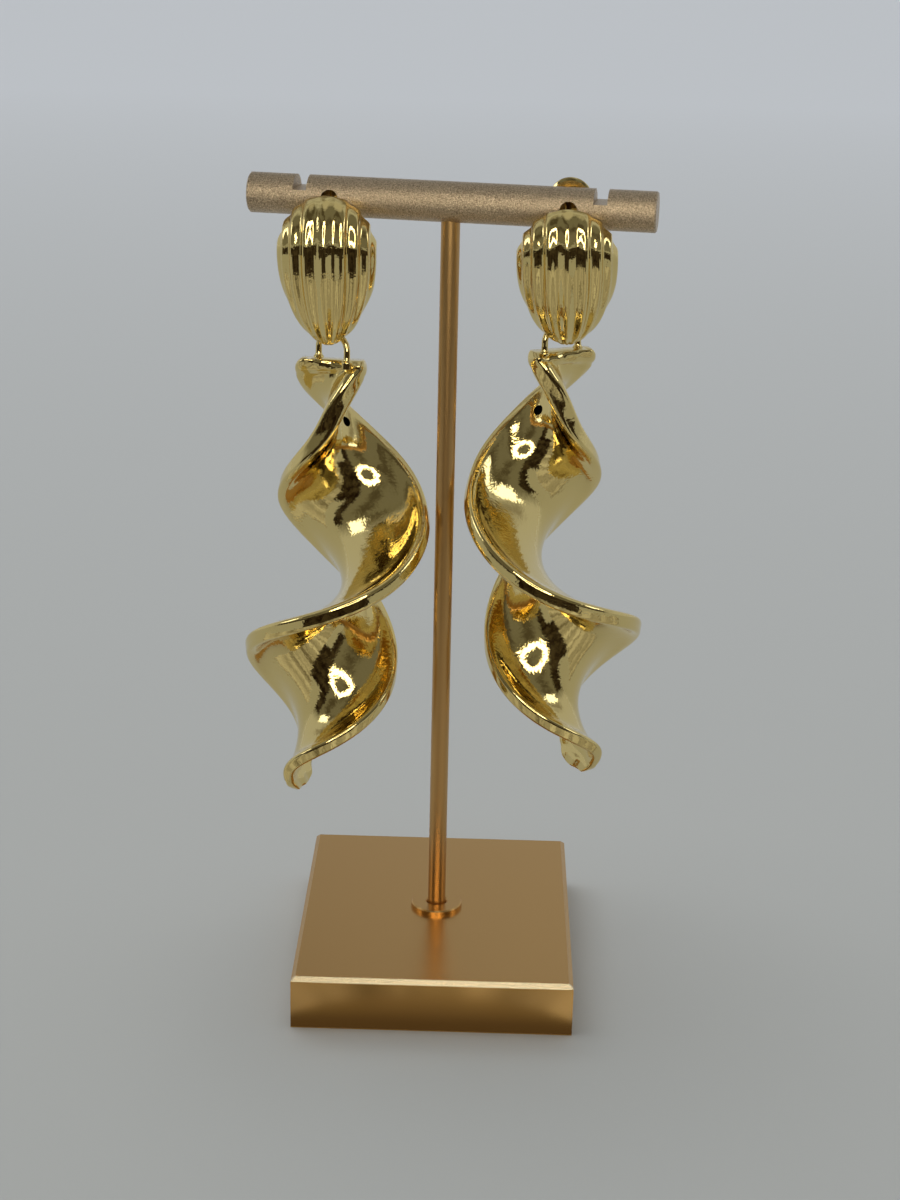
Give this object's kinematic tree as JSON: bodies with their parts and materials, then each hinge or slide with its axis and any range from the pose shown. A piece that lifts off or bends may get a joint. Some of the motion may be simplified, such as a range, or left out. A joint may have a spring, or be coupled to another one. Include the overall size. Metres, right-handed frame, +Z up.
{
  "type": "pair of twisted drop earrings on a t-bar display stand",
  "caption": "Pair of long gold earrings, ribbed dome studs with twisted ribbon drops hanging from their bails, on a small T-bar display stand.",
  "frame": {"origin": "middle of the base's underside", "axes": "+Z up along the post, -Y toward the front of the stand, where the domes face, +X to the viewer's right; the bar is turned 9.2 degrees about Z, its right end toward the front"},
  "size_m": [0.061, 0.0502, 0.1267],
  "materials": {
    "earring_gold": "mirror-polished yellow gold plate",
    "clutch_gold": "polished gold plate",
    "bar_satin": "bead-blasted champagne gold plate",
    "post_gold": "brushed gold plate",
    "stand_gold": "satin gold plate"
  },
  "bodies": {
    "stand": {"stand_base": "stand_gold", "stand_collar": "stand_gold", "stand_post": "post_gold", "stand_bar": "bar_satin", "left_stud": "earring_gold", "left_clutch": "clutch_gold", "right_stud": "earring_gold", "right_clutch": "clutch_gold"},
    "left_earring_drop": {"left_drop": "earring_gold"},
    "right_earring_drop": {"right_drop": "earring_gold"}
  },
  "joints": [
    {"name": "left_swing", "type": "hinge", "parent": "stand", "child": "left_earring_drop", "pos_m": [-0.01741, 0.00444, 0.1017], "axis": [0.9871, -0.1599, 0], "range_deg": [-5, 25]},
    {"name": "right_swing", "type": "hinge", "parent": "stand", "child": "right_earring_drop", "pos_m": [0.01692, 0.00379, 0.1041], "axis": [0.9871, -0.1599, 0], "range_deg": [-5, 25]}
  ]
}
